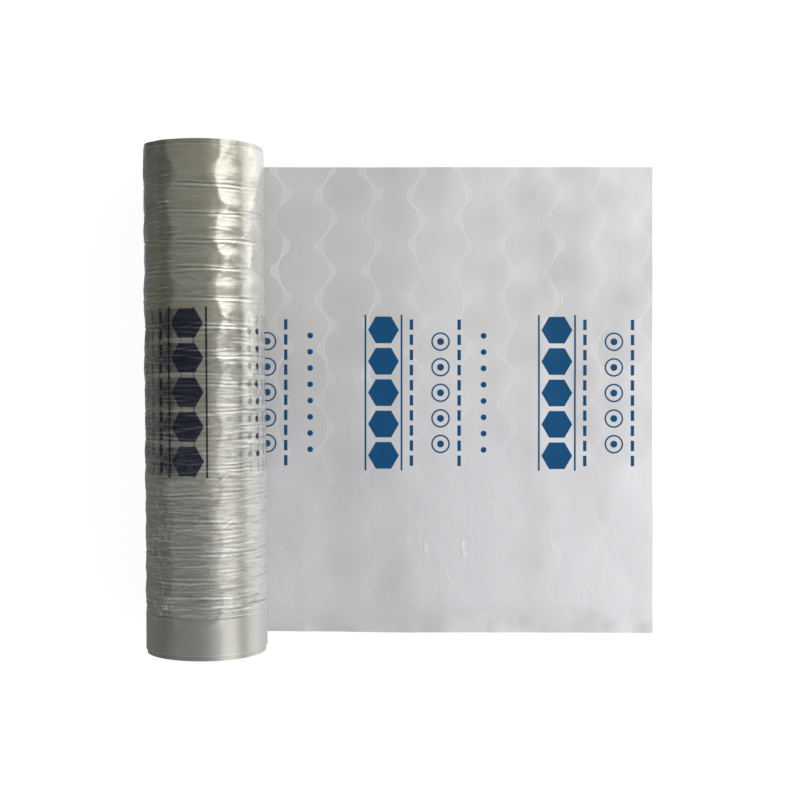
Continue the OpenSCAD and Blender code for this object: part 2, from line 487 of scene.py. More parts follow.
def web_creases(u, v):
    """Faint tucks all over, more of them in the near half and next to the roll."""
    half_turn = math.pi / 2
    faint = random_tucks(
        70, (20 * MM, 350 * MM), (-185 * MM, 185 * MM), (8 * MM, 40 * MM), (1.4 * MM, 3 * MM),
        (-half_turn, half_turn), (-0.05 * MM, 0.09 * MM),
    )
    nearer = random_tucks(
        110, (20 * MM, 360 * MM), (-180 * MM, -40 * MM), (8 * MM, 34 * MM), (1.4 * MM, 2.4 * MM),
        (-half_turn, half_turn), (-0.12 * MM, 0.24 * MM),
    )
    by_roll = random_tucks(
        90, (300 * MM, 345 * MM), (-190 * MM, 190 * MM), (4 * MM, 18 * MM), (1.4 * MM, 2.4 * MM),
        (-half_turn, half_turn), (-0.14 * MM, 0.2 * MM),
    )
    return tucks(u, v, np.concatenate([faint, nearer, by_roll, SHARP_CREASES]))


# Creases that catch the light, in millimetres: (u, v, length, half width, slant, height).
# The slant is in radians.
SHARP_CREASES = np.array([
    (163.0, -124.0, 10.0, 1.3, 1.75, 0.9),
    (162.0, -132.0, 9.0, 1.3, 1.4, 0.8),
    (195.0, -127.0, 17.0, 1.5, 1.5, 0.55),
    (176.0, -152.0, 10.0, 1.3, 1.2, 0.55),
    (86.0, -125.0, 8.0, 1.3, 1.3, 0.65),
    (186.0, -163.0, 6.0, 1.3, 0.4, 0.5),
    (247.0, -84.0, 9.0, 1.5, 1.1, 0.25),
    (120.0, -95.0, 22.0, 2.2, 1.5, 0.18),
    (305.0, -170.0, 30.0, 1.8, 0.1, 0.2),
    (318.0, -150.0, 22.0, 1.8, 0.7, 0.2),
]) * np.array([MM, MM, MM, MM, 1, MM])


def web_y(u, v):
    """Place across the table: the near edge is drawn in a little towards the roll."""
    return v + GATHER * (0.5 - v / WEB_W) * (u / DRAWN_LEN) ** 2


def web_points():
    """Top points row by row, then the coarse ones of the underside."""
    u, v = np.meshgrid(
        np.linspace(0, DRAWN_LEN, WEB_COLUMNS + 1),
        np.linspace(-WEB_W / 2, WEB_W / 2, WEB_ROWS + 1),
    )
    lift = web_lift(u, v)
    creases = web_creases(u, v)
    top = lift + WELD_T + web_puff(u, v) + creases
    # Crests for painted glints on the web.
    crest = 0.5 + 0.5 * np.clip(creases / CREASE_FULL, -1, 1)
    coarse = (slice(None, None, COARSE), slice(None, None, COARSE))
    upper = np.stack([CUT_X - u, web_y(u, v), top], axis=-1)
    lower = np.stack([CUT_X - u, web_y(u, v), lift], axis=-1)[coarse]
    uv = np.stack([u, v], axis=-1)
    crest = np.concatenate([crest.ravel(), np.full(lower[..., 0].size, 0.5)])
    return upper, lower, np.concatenate([uv.reshape(-1, 2), uv[coarse].reshape(-1, 2)]), crest


def rim(ids):
    """The outer ring of a grid of numbers, as one closed list."""
    return np.concatenate([ids[0, :-1], ids[:-1, -1], ids[-1, :0:-1], ids[:0:-1, 0]])


upper, lower, point_uv, web_crest_for_painted_light = web_points()
upper_ids = np.arange(upper.shape[0] * upper.shape[1]).reshape(upper.shape[:2])
lower_ids = upper_ids.size + np.arange(lower.shape[0] * lower.shape[1]).reshape(lower.shape[:2])
row, column = grid_quads(*upper.shape[:2])
top_faces = upper_ids[row, column]
row, column = grid_quads(*lower.shape[:2])
under_faces = lower_ids[row, column][:, ::-1]
fine = rim(upper_ids)
rough = rim(lower_ids)
first = np.arange(len(rough)) * COARSE
wall_faces = np.column_stack(
    [fine[(first + k) % len(fine)] for k in range(COARSE, -1, -1)] + [rough, np.roll(rough, -1)]
)
web_faces = top_faces.tolist() + under_faces.tolist() + wall_faces.tolist()
film_sheet = make_piece(
    "film_sheet",
    np.concatenate([upper.reshape(-1, 3), lower.reshape(-1, 3)]),
    web_faces,
    point_uv[np.concatenate([np.ravel(f) for f in web_faces])],
    crest=web_crest_for_painted_light,
)
flat_faces = np.arange(len(web_faces)) < len(top_faces)
film_sheet.data.polygons.foreach_set("use_smooth", flat_faces)

# %% [markdown]
# ## Arithmetic for materials
#
# The print and the welds have sharp edges, finer than any grid of points, so the material
# works them out for itself at each point of the picture, from the web map. That takes many
# Math nodes. This small class makes each of them when it meets a plus or a times, so the
# pattern can be written down as plain arithmetic.

# %% Numbers made of nodes


class Number:
    """A number that a material works out at each point of a surface."""

    def __init__(self, tree, socket):
        self.tree = tree
        self.socket = socket

    def made(self, operation, *others):
        """The Math node of that operation on this number and the others."""
        node = self.tree.nodes.new("ShaderNodeMath")
        node.operation = operation
        for entry, value in zip(node.inputs, (self,) + others):
            if isinstance(value, Number):
                self.tree.links.new(value.socket, entry)
            else:
                entry.default_value = value
        return Number(self.tree, node.outputs[0])

    def __add__(self, other):
        return self.made("ADD", other)

    def __sub__(self, other):
        return self.made("SUBTRACT", other)

    def __mul__(self, other):
        return self.made("MULTIPLY", other)

    def __abs__(self):
        return self.made("ABSOLUTE")

    def least(self, other):
        return self.made("MINIMUM", other)

    def most(self, other):
        return self.made("MAXIMUM", other)

    def limited(self, low=0.0, high=1.0):
        """The number kept from low to high."""
        return self.most(low).least(high)

    def length_with(self, other):
        """Length of the slope over this number and the other, as of a triangle's two short sides."""
        return (self * self + other * other).made("SQRT")

    def from_nearest(self, pitch):
        """Distance from the nearest multiple of pitch, below zero before it."""
        return self.made("WRAP", pitch / 2, -pitch / 2)

    def under(self, limit, soft=0.15 * MM):
        """1 where the number is under the limit and 0 over it, with an edge that is soft wide."""
        share = (self * (-1 / soft)) + (limit / soft + 0.5)
        return share.limited()


def web_map(tree):
    """The web coordinates u and v in a material."""
    uv = tree.nodes.new("ShaderNodeUVMap")
    uv.uv_map = "web"
    split = tree.nodes.new("ShaderNodeSeparateXYZ")
    tree.links.new(uv.outputs[0], split.inputs[0])
    return Number(tree, split.outputs[0]), Number(tree, split.outputs[1])


def object_place(tree):
    """The x, y and z of a piece's point in a material."""
    place = tree.nodes.new("ShaderNodeTexCoord")
    split = tree.nodes.new("ShaderNodeSeparateXYZ")
    tree.links.new(place.outputs["Object"], split.inputs[0])
    return [Number(tree, socket) for socket in split.outputs]


def weld_number(u, v):
    """The same distance as weld_distance, in nodes."""
    place = (u - FIRST_COLUMN) * (1 / COLUMN_PITCH)
    column = place.made("FLOOR")
    after = (place - column) * COLUMN_PITCH
    before = (after - COLUMN_PITCH) * -1
    shift = column.made("FLOORED_MODULO", 2.0) * (CELL_PITCH / 2)
    across = abs((shift - v + (WEB_W / 2 - FIRST_CELL)).from_nearest(CELL_PITCH))
    beside = (across - CELL_PITCH / 2) * -1
    cells = after.length_with(across).least(before.length_with(beside)) - CELL_R
    necks = after.least(before) - NECK_HALF_W
    return cells.least(necks).least(v + (WEB_W / 2 - CHANNEL_W))


# %% [markdown]
# ## The print
#
# Rollers print the web before it is welded, so the same shapes come back every 149 mm.
# The shapes are plain ones: a row of hexagons between two rules, dashes, rings with a
# dot, and spots. A shape is a distance from its middle that stays under its size, and
# the print is the largest of all their covers.

# %% Print cover
PRINT_PITCH = 149 * MM
PRINT_START = 82 * MM
PRINT_Y = 6 * MM
RULE_OFFSET = 15.5 * MM
RULE_HALF_W = 0.8 * MM
RULE_HALF_LEN = 67 * MM
HEX_HALF = 11.5 * MM
HEX_PITCH = 27 * MM
HEX_COUNT = 5
DASH_OFFSET = 24 * MM
DASH_HALF_W = 1.5 * MM
DASH_HALF_LEN = 4.5 * MM
DASH_PITCH = 13 * MM
DASH_COUNT = 10
RING_OFFSET = 49 * MM
RING_R = 8 * MM
RING_LINE = 1.4 * MM
RING_DOT_R = 3 * MM
RING_PITCH = 22 * MM
RING_COUNT = 5
SPOT_OFFSET = 86 * MM
SPOT_R = 2.5 * MM
SPOT_PITCH = 14 * MM
SPOT_COUNT = 8


def in_row(v, count, pitch):
    """Distance from the nearest of count shapes in a row across the web, and the row's own cover."""
    start = v + (0 if count % 2 else pitch / 2)
    return abs(start.from_nearest(pitch)), abs(v).under(count * pitch / 2)


def print_rows(v):
    """What the print needs from the place across the web. It is the same for every turn."""
    middle = v - PRINT_Y
    return {
        "rule": abs(middle).under(RULE_HALF_LEN),
        "hexagon": in_row(middle, HEX_COUNT, HEX_PITCH),
        "dash": in_row(middle, DASH_COUNT, DASH_PITCH),
        "ring": in_row(middle, RING_COUNT, RING_PITCH),
        "spot": in_row(middle, SPOT_COUNT, SPOT_PITCH),
    }


def print_cover(u, rows, soft):
    """How much of a point the ink covers, from 0 to 1."""

    def from_column(offset):
        return abs((u - (PRINT_START - offset)).from_nearest(PRINT_PITCH))

    to_hex = from_column(0)
    rules = abs(to_hex - RULE_OFFSET).under(RULE_HALF_W, soft) * rows["rule"]
    across, row = rows["hexagon"]
    slanted = across * 0.5 + to_hex * math.cos(math.radians(30))
    hexagons = across.most(slanted).under(HEX_HALF, soft) * row
    across, row = rows["dash"]
    dash_ends = across.under(DASH_HALF_LEN, soft) * row
    dash_column = from_column(DASH_OFFSET).least(from_column(RING_OFFSET + 2 * RING_R))
    dashes = dash_column.under(DASH_HALF_W, soft) * dash_ends
    across, row = rows["ring"]
    to_ring = from_column(RING_OFFSET).length_with(across)
    line = abs(to_ring - (RING_R - RING_LINE / 2)).under(RING_LINE / 2, soft)
    rings = line.most(to_ring.under(RING_DOT_R, soft)) * row
    across, row = rows["spot"]
    spots = from_column(SPOT_OFFSET).length_with(across).under(SPOT_R, soft) * row
    return rules.most(hexagons).most(dashes).most(rings).most(spots)


# %% Material helpers


def new_material(name):
    """A material with an empty Principled shader, and its node tree."""
    material = bpy.data.materials.new(name)
    material.use_nodes = True
    tree = material.node_tree
    return material, tree, tree.nodes["Principled BSDF"]


def plug(tree, value, entry):
    """Links a number to a socket."""
    tree.links.new(value.socket, entry)


def mixed(tree, share, a, b):
    """Colour a where the share is 0, b where it is 1. A colour is three numbers or another mix."""
    node = tree.nodes.new("ShaderNodeMix")
    node.data_type = "RGBA"
    node.clamp_factor = True
    tree.links.new(share.socket, node.inputs["Factor"])
    for entry, colour in ((node.inputs[6], a), (node.inputs[7], b)):
        if isinstance(colour, tuple):
            entry.default_value = (*colour, 1)
        else:
            tree.links.new(colour, entry)
    return node.outputs[2]


def noise(tree, vector, scale, detail=3.0, roughness=0.5):
    """A noise number, about 0.5 on average."""
    node = tree.nodes.new("ShaderNodeTexNoise")
    node.inputs["Scale"].default_value = scale
    node.inputs["Detail"].default_value = detail
    node.inputs["Roughness"].default_value = roughness
    tree.links.new(vector, node.inputs["Vector"])
    return Number(tree, node.outputs["Fac"])


def stretched(tree, u, v, stretch_u, stretch_v):
    """The web map with each direction scaled, for patterns that are longer one way."""
    node = tree.nodes.new("ShaderNodeCombineXYZ")
    plug(tree, u * stretch_u, node.inputs[0])
    plug(tree, v * stretch_v, node.inputs[1])
    return node.outputs[0]


def add_bump(tree, shader, height, distance):
    """Lets a height number tilt the shader's surface. Distance is the height of 1, in metres."""
    bump = tree.nodes.new("ShaderNodeBump")
    bump.inputs["Distance"].default_value = distance
    plug(tree, height, bump.inputs["Height"])
    tree.links.new(bump.outputs[0], shader.inputs["Normal"])


# %% [markdown]
# ## Film on the table and film on the roll
#
# One web, but two looks. Drawn out, two plies let most of the table through and the ink is
# blue. Wound up, dozens of turns lie behind each other: they turn olive grey, they shine
# like a stack of mirrors, and the ink of the turns below shows through, each turn a little
# further back because the turns below are smaller.
#
# A few lamps can't give all the depth that a real stack has. So the mesh carries a value
# named crest, with which the materials paint highlights on sharp ridges and shade in sharp
# valleys. The wound film also has painted shade on the left, painted light on the right and
# one painted dark stripe between: a painted reflection of the room that the film would
# mirror. The drawn-out web is painted lighter towards its cut edge and darker by the roll,
# with painted shade in its cells and along its near edge.

# %% Film materials
# Painted light and shade on the drawn-out web: lighter towards the cut edge, darker by the roll, in its
# cooler near half too.
SHEET_PAINTED_SHADE_BY_ROLL = (0.62, 0.615, 0.61)
SHEET_PAINTED_LIGHT_BY_CUT = (0.94, 0.94, 0.945)
SHEET_COOL_PAINTED_SHADE_BY_ROLL = (0.63, 0.625, 0.69)
SHEET_COOL_PAINTED_LIGHT_BY_CUT = (0.87, 0.865, 0.925)
SHEET_PAINTED_GLINT = (1.0, 1.0, 1.0)
SHEET_TONE_AND_PAINTED_SHADE = (0.56, 0.56, 0.57)
SHEET_WELD = (0.92, 0.92, 0.92)
SHEET_INK = (0.003, 0.085, 0.225)
ROLL_OLIVE = (0.44, 0.43, 0.32)
ROLL_GREY = (0.36, 0.352, 0.32)
ROLL_SHADE = (0.16, 0.155, 0.12)
ROLL_WELD_AND_PAINTED_LIGHT = (0.66, 0.65, 0.60)
ROLL_PAINTED_FLANK_LIGHT = (0.86, 0.86, 0.83)
ROLL_PAINTED_DARK_STRIPE = (0.26, 0.255, 0.22)
ROLL_PAINTED_HIGHLIGHT = (0.92, 0.91, 0.86)
ROLL_PAINTED_VALLEY_SHADE = (0.10, 0.10, 0.085)
ROLL_INK = (0.006, 0.012, 0.04)
EDGE_PAINTED_GAP_SHADE = (0.16, 0.16, 0.14)
EDGE_FILM = (0.62, 0.62, 0.58)
WELD_LINE = 0.9 * MM
WELD_WANDER = 9 * MM
FILM_IOR = 1.5
# Roughness of smooth film, and how much its haze adds.
SHEET_ROUGH = (0.15, 0.1)
ROLL_ROUGH = (0.19, 0.12)
# Painted light by side: where one begins in radii right of the axis, how fast it grows, its most.
PAINTED_LIGHT_SIDE = (0.22, 1.6, 0.26)
PAINTED_FLANK_LIGHT_SIDE = (0.74, 5.0, 0.85)
# The painted dark stripe, a painted reflection: its place in radii right of the axis, its narrowness
# and its strength.
PAINTED_DARK_STRIPE = (0.69, 9.0, 0.55)
TURN_DRIFT = 10 * MM
# How strongly the print of each turn shows, from the lowest to the outermost.
TURN_STRENGTHS = (0.13, 0.2, 0.3, 0.5, 0.97)


def crest_for_painted_light(tree):
    """The crests of the mesh, for painted highlights and painted shade: 1 on a sharp crest, 0 on smooth
    film and -1 in a sharp valley.
    """
    node = tree.nodes.new("ShaderNodeAttribute")
    node.attribute_name = "crest"
    return Number(tree, node.outputs["Fac"]) * 2 - 1


def grown(number, begin, growth, most):
    """0 up to begin, then growing with the number up to most."""
    return ((number - begin) * growth).limited(high=most)


def sheet_material():
    """Two plies of clear film: pale grey, lighter in the welds, printed blue, with painted light and
    shade.
    """
    material, tree, shader = new_material("film_drawn_out")
    u, v = web_map(tree)
    even = stretched(tree, u, v, 1, 1)
    pull = (noise(tree, even, 34, 1.0) - 0.5) * WELD_WANDER
    to_weld = weld_number(u + pull, v - pull)
    line = abs(to_weld - WELD_LINE / 3).under(WELD_LINE / 2, WELD_LINE / 2)
    land = (to_weld * -1).under(0, WELD_LINE)
    seen = (noise(tree, even, 22, 1.0) * 1.6 - 0.25).limited(0.15)
    upper = ((v + 0.13) * 6.0).limited(0.2)
    weld = (line * 0.7).most(land * 0.36) * seen * upper
    inside = (to_weld * (-1 / CELL_R)).limited()
    clouds = noise(tree, stretched(tree, u, v, 1.0, 0.5), 26, 2.0)
    # Painted light and shade: the web gets lighter towards the cut edge and darker towards the roll.
    base = mixed(tree, u * (1 / DRAWN_LEN), SHEET_PAINTED_LIGHT_BY_CUT, SHEET_PAINTED_SHADE_BY_ROLL)
    cool = mixed(tree, u * (1 / DRAWN_LEN), SHEET_COOL_PAINTED_LIGHT_BY_CUT, SHEET_COOL_PAINTED_SHADE_BY_ROLL)
    by_near_edge = (v * (-3 / WEB_W) + 0.5).limited()
    base = mixed(tree, by_near_edge * 0.5, base, cool)
    tone = noise(tree, stretched(tree, u, v, 1.0, 0.3), 9, 1.0)
    # Soft patches of random tone, and painted shade that darkens towards the middle of each upper cell.
    base = mixed(tree, inside * 0.25 * upper + clouds * 0.9 - tone * 1.8 + 0.6, base, SHEET_TONE_AND_PAINTED_SHADE)
    # Painted shade in soft dark patches along the near edge, where the film ripples.
    folded = (v * -40.0 - 7.0).limited()
    painted_fold_shade = noise(tree, stretched(tree, u, v, 1.0, 1.6), 30, 1.0) * 2.6 - 1.05
    base = mixed(tree, folded * painted_fold_shade, base, SHEET_TONE_AND_PAINTED_SHADE)
    base = mixed(tree, weld, base, SHEET_WELD)
    # Painted glints: the sharpest crests of the creases are painted white.
    crest = crest_for_painted_light(tree).most(0.0)
    base = mixed(tree, crest * crest, base, SHEET_PAINTED_GLINT)
    ink = print_cover(u, print_rows(v), 0.25 * MM)
    base = mixed(tree, ink, base, SHEET_INK)
    tree.links.new(base, shader.inputs["Base Color"])
    smooth, hazy = SHEET_ROUGH
    haze = noise(tree, even, 60, 3.0)
    plug(tree, haze * hazy + smooth, shader.inputs["Roughness"])
    shader.inputs["IOR"].default_value = FILM_IOR
    crumple = noise(tree, even, 45, 2.0)
    add_bump(tree, shader, crumple, 0.5 * MM)
    return material


def roll_material():
    """Many plies of film: olive grey, streaked round the roll, with the print of five turns, and
    painted light and shade by side and on its crinkles.
    """
    material, tree, shader = new_material("film_wound")
    u, v = web_map(tree)
    to_right = (object_place(tree)[0] - AXIS_X) * (1 / ROLL_R)
    towards_far = v * (1 / WEB_W) + 0.5
    base = mixed(tree, towards_far, ROLL_GREY, ROLL_OLIVE)
    in_cells = ((v + (WEB_W / 2 - CHANNEL_W)) * 200.0).limited()
    in_channel = in_cells * -1 + 1
    streaks = noise(tree, stretched(tree, u, v, 9, 160), 1.0, 5.0, 0.6)
    base = mixed(tree, (streaks - 0.5) * (in_cells * 0.9 + 0.1) + 0.1, base, ROLL_WELD_AND_PAINTED_LIGHT)
    to_weld = weld_number(u, v)
    weld = abs(to_weld).under(0.5 * MM, 0.6 * MM)
    base = mixed(tree, weld * 0.2, base, ROLL_WELD_AND_PAINTED_LIGHT)
    lit_more = (towards_far * 1.3 + 0.1).least(1.0)
    # Painted light: the right side of the roll is lighter, more so towards the far end.
    base = mixed(tree, grown(to_right, *PAINTED_LIGHT_SIDE) * lit_more, base, ROLL_WELD_AND_PAINTED_LIGHT)
    # Painted reflection: the far right flank is painted nearly white, as if it mirrored the white
    # table.
    base = mixed(tree, grown(to_right, *PAINTED_FLANK_LIGHT_SIDE), base, ROLL_PAINTED_FLANK_LIGHT)
    # Painted reflection: one dark stripe down the right side of the roll.
    stripe_place, narrowness, strength = PAINTED_DARK_STRIPE
    stripe = (abs(to_right - stripe_place) * -narrowness + 1.0).most(0.0)
    base = mixed(tree, stripe * strength, base, ROLL_PAINTED_DARK_STRIPE)
    base = mixed(tree, in_channel * 0.2, base, ROLL_WELD_AND_PAINTED_LIGHT)
    # Painted shade: the left side is darker, more so towards the far end.
    to_left = (to_right * -2.2 - 0.75).limited()
    base = mixed(tree, to_left * (towards_far - 0.25).most(0.0), base, ROLL_SHADE)
    gathered = (v * -9.0 + 0.55).limited(0.2) * in_cells
    fine = noise(tree, stretched(tree, u, v, 40, 330), 1.0, 3.0, 0.6) - 0.5
    lines = (abs(fine) * -22.0 + 0.9).most(0.0) * gathered
    lengthwise = stretched(tree, u * 0.33 - v * 0.94, u * 0.94 + v * 0.33, 30, 110)
    on_left = (to_right * -3.0 - 0.7).limited()
    in_near_half = (v * -20.0 - 0.8).limited()
    dragged = (abs(noise(tree, lengthwise, 1.0, 1.0) - 0.5) * -22.0 + 0.75).most(0.0)
    dragged = dragged * on_left * in_near_half
    # Painted highlights on sharp crests, on the fine wrinkle lines and on the dragged creases.
    crest = crest_for_painted_light(tree)
    painted_highlights = crest.most(0.0) * 0.5 + lines * 0.28 + dragged * in_cells * 0.7
    base = mixed(tree, painted_highlights, base, ROLL_PAINTED_HIGHLIGHT)
    # Painted shade in sharp valleys and in the hollows of the fine wrinkles.
    painted_hollow_shade = (fine.most(0.0) * 3.0 - 0.2).most(0.0) * gathered
    base = mixed(tree, (crest * -1).most(0.0) * 0.5 + painted_hollow_shade, base, ROLL_PAINTED_VALLEY_SHADE)
    rows = print_rows(v)
    for depth, strength in zip(range(len(TURN_STRENGTHS) - 1, -1, -1), TURN_STRENGTHS):
        cover = print_cover(u + depth * TURN_DRIFT, rows, (0.25 + 0.25 * depth) * MM)
        base = mixed(tree, cover * strength, base, ROLL_INK)
    # Painted highlights once more, over the ink.
    base = mixed(tree, crest.most(0.0) * 0.22 + lines * 0.07, base, ROLL_PAINTED_HIGHLIGHT)
    tree.links.new(base, shader.inputs["Base Color"])
    haze = noise(tree, stretched(tree, u, v, 30, 120), 1.0, 3.0)
    smooth, hazy = ROLL_ROUGH
    dull = gathered * 0.15 + in_channel * 0.16
    plug(tree, haze * hazy + smooth + dull, shader.inputs["Roughness"])
    shader.inputs["Metallic"].default_value = 0.7
    shader.inputs["Coat Weight"].default_value = 0.5
    shader.inputs["Coat Roughness"].default_value = 0.1
    shader.inputs["Coat IOR"].default_value = FILM_IOR
    wrinkles = abs(fine) * gathered * -4.0
    crumpled = noise(tree, stretched(tree, u, v, 70, 120), 1.0, 1.0) * in_cells
    weld_crest = (to_weld.least(0.0) * 250.0).most(-1.0) * 0.9
    add_bump(tree, shader, wrinkles + crumpled + weld_crest + dragged * in_cells, 0.25 * MM)
    return material


def turn_edge_material():
    """Cut edges of the turns: pale grey film edges with painted shade in the gaps between them."""
    material, tree, shader = new_material("film_turn_edges")
    x, _, z = object_place(tree)
    radius = (x - AXIS_X).length_with(z - AXIS_Z)
    node = tree.nodes.new("ShaderNodeCombineXYZ")
    plug(tree, radius, node.inputs[0])
    lines = noise(tree, node.outputs[0], 2600, 3.0, 0.6)
    thick_lines = noise(tree, node.outputs[0], 420, 2.0, 0.5)
    # Painted shade in the gaps between the turns' edges, as fine dark rings.
    shade = lines * 0.6 + thick_lines * 0.9 - 0.35
    base = mixed(tree, shade, EDGE_PAINTED_GAP_SHADE, EDGE_FILM)
    tree.links.new(base, shader.inputs["Base Color"])
    shader.inputs["Roughness"].default_value = 0.4
    add_bump(tree, shader, lines, 0.25 * MM)
    return material


film_roll.data.materials.append(roll_material())
film_roll.data.materials.append(turn_edge_material())
film_sheet.data.materials.append(sheet_material())
for piece in (film_roll, film_sheet):
    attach(piece, "root")
    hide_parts("film", "printed_marks")

# %% [markdown]
# ## The paper core
#
# The core is a tube of grey-brown paperboard strips, wound in a spiral and glued. Inside,
# the joint of the last strip shows as a shallow spiral groove. At the cut ends the plies
# show as fine rings. It is made like the roll, as one closed profile carried round.

# %% Build the core
CORE_ANGLES = 120
CORE_ROWS = 161
CORE_PLIES = 6
PLY_GROOVE = 0.18 * MM
CORE_LIP = 0.4 * MM
SEAM_LEAD = 96 * MM
SEAM_DEPTH = 0.25 * MM
SEAM_HALF_W = 1.6 * MM
OUTER_CORE_ROWS = 5
CORE_DARK = (0.30, 0.19, 0.10)
CORE_PALE = (0.56, 0.40, 0.25)
CORE_JOINT = (0.18, 0.11, 0.06)


def core_points():
    """The core's closed profile: bore, far end, outside and near end."""
    angle = np.arange(CORE_ANGLES) * 2 * math.pi / CORE_ANGLES
    half = WEB_W / 2
    bore_y = np.linspace(-half + CORE_LIP, half - CORE_LIP, CORE_ROWS)
    ends = np.linspace(0, 1, 4 * CORE_PLIES + 1)
    end_r = BORE_R + CORE_LIP + (CORE_R - BORE_R - 2 * CORE_LIP) * ends
    groove = PLY_GROOVE * (0.5 + 0.5 * np.cos(2 * math.pi * CORE_PLIES * ends))
    outer_y = np.linspace(half - CORE_LIP, -half + CORE_LIP, OUTER_CORE_ROWS)
    bore = np.full(CORE_ROWS, BORE_R)
    outside = np.full(OUTER_CORE_ROWS, CORE_R)
    radius = np.concatenate([bore, end_r, outside, end_r[::-1]])
    y = np.concatenate([bore_y, half - groove, outer_y, -half + groove[::-1]])
    in_bore = np.arange(len(y)) < CORE_ROWS
    around, along = np.meshgrid(angle, y)
    turn = around / (2 * math.pi) + along / SEAM_LEAD
    seam = np.abs(turn - np.round(turn)) * SEAM_LEAD
    depth = SEAM_DEPTH * np.clip(1 - seam / SEAM_HALF_W, 0, 1) * in_bore[:, None]
    r = radius[:, None] + depth
    return np.stack([AXIS_X - r * np.sin(around), along, AXIS_Z - r * np.cos(around)], axis=-1)


def core_material():
    """Kraft paperboard: brown, mottled with short fibres, darker along the spiral joint."""
    material, tree, shader = new_material("paperboard_core")
    place = tree.nodes.new("ShaderNodeTexCoord")
    fibres = noise(tree, place.outputs["Object"], 900, 4.0, 0.65)
    clouds = noise(tree, place.outputs["Object"], 60, 3.0)
    x, y, z = object_place(tree)
    angle = ((x - AXIS_X) * -1).made("ARCTAN2", (z - AXIS_Z) * -1)
    turn = angle * (1 / (2 * math.pi)) + y * (1 / SEAM_LEAD)
    joint = abs(turn.from_nearest(1.0)).under(0.012, 0.02)
    base = mixed(tree, clouds * 0.6 + fibres * 0.4, CORE_DARK, CORE_PALE)
    base = mixed(tree, joint * 0.45, base, CORE_JOINT)
    tree.links.new(base, shader.inputs["Base Color"])
    shader.inputs["Roughness"].default_value = 0.85
    add_bump(tree, shader, fibres, 0.1 * MM)
    return material


points = core_points()
rows_in_core = points.shape[0]
row, column = grid_quads(rows_in_core, CORE_ANGLES, close_rows=True, close_columns=True)
corner_id = (row % rows_in_core) * CORE_ANGLES + column % CORE_ANGLES
paper_core = make_piece("paper_core", points.reshape(-1, 3), corner_id[:, ::-1].tolist())
paper_core.data.materials.append(core_material())
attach(paper_core, "root")
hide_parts("core_tube")

# %% [markdown]
# ## Faces outwards
#
# A face that points inwards shades wrongly and turns a printed part inside out. A closed
# mesh holds a volume, and the sign of that volume says which way its faces look.

# %% Check the way the faces look


def signed_volume(piece):
    """Sum of the volumes between each triangle and the origin, above zero when faces look out."""
    mesh = piece.data
    mesh.calc_loop_triangles()
    corners = np.zeros(len(mesh.loop_triangles) * 3, dtype=np.int32)
    mesh.loop_triangles.foreach_get("vertices", corners)
    places = np.zeros(len(mesh.vertices) * 3)
    mesh.vertices.foreach_get("co", places)
    a, b, c = places.reshape(-1, 3)[corners.reshape(-1, 3)].transpose(1, 0, 2)
    return float(np.einsum("ij,ij->i", a, np.cross(b, c)).sum() / 6)


for piece in (film_roll, film_sheet, paper_core):
    volume = signed_volume(piece)
    print(f"{piece.name}: {volume * 1e6:.1f} cubic centimetres")
    if volume < 0:
        piece.data.flip_normals()

# %% [markdown]
# ## Table, light and camera
#
# The picture looks straight down from a metre up on a white table. A stack of clear film
# mirrors about a third of what is round it, so the roll shows its surroundings. Two
# softboxes on the right, a strong one and a weak one, give the bright band beside its
# crest. Each is three layers that overlap, so that it gets dimmer towards its left. A low
# panel lights the foot of the right side. Two wide lamps beyond the ends light the film
# evenly: a plain roll never mirrors them into the camera, but the sides of its tucks do.
# Two small lamps do the same for the tucks on the left. The floor looks white because it
# adds light of its own for the camera and for mirrors, and its plain part still takes the
# shadow.

# %% Camera
CAMERA_X = -4.3 * MM
CAMERA_H = 1025.4 * MM
LENS = 53.64
SENSOR = 36.0

camera_data = bpy.data.cameras.new("camera")
camera_data.lens = LENS
camera_data.sensor_width = SENSOR
camera = bpy.data.objects.new("camera", camera_data)
camera.location = (CAMERA_X, 0, CAMERA_H)
bpy.context.scene.collection.objects.link(camera)
bpy.context.scene.camera = camera

# %% Floor and surroundings
FLOOR_HALF = 20.0
FLOOR_GLOW = 0.94
FLOOR_WHITE = (0.12, 0.12, 0.12)
FLOOR_MIRRORED = (0.15, 1.6)
SKY_LIGHT = 0.27
SKY_DIM = 0.1
SKY_ENDS = 0.5


def seen_directly(tree, glossy_share):
    """1 for camera rays and rays through clear stuff, the given share for mirror rays, else 0."""
    path = tree.nodes.new("ShaderNodeLightPath")
    seen = Number(tree, path.outputs["Is Camera Ray"])
    through = Number(tree, path.outputs["Is Transmission Ray"])
    mirrored = Number(tree, path.outputs["Is Glossy Ray"])
    return seen.most(through).most(mirrored * glossy_share)


def make_floor():
    """A wide white floor at table height, dimmer towards the left in mirrors."""
    corners = np.array([(-1, -1, 0), (1, -1, 0), (1, 1, 0), (-1, 1, 0)]) * FLOOR_HALF
    floor = make_piece("floor", corners, [[0, 1, 2, 3]], smooth=False)
    material, tree, shader = new_material("white_floor")
    shader.inputs["Base Color"].default_value = (*FLOOR_WHITE, 1)
    shader.inputs["Roughness"].default_value = 0.9
    shader.inputs["Emission Color"].default_value = (1, 1, 1, 1)
    x, y, _ = object_place(tree)
    least, most = FLOOR_MIRRORED
    to_right = (x * 3.5 + 1.2).limited(high=most)
    to_far = (y * 2.0 + 0.7).limited(0.45)
    mirrored = (to_right * to_far).most(least)
    plug(tree, seen_directly(tree, mirrored) * FLOOR_GLOW, shader.inputs["Emission Strength"])
    floor.data.materials.append(material)


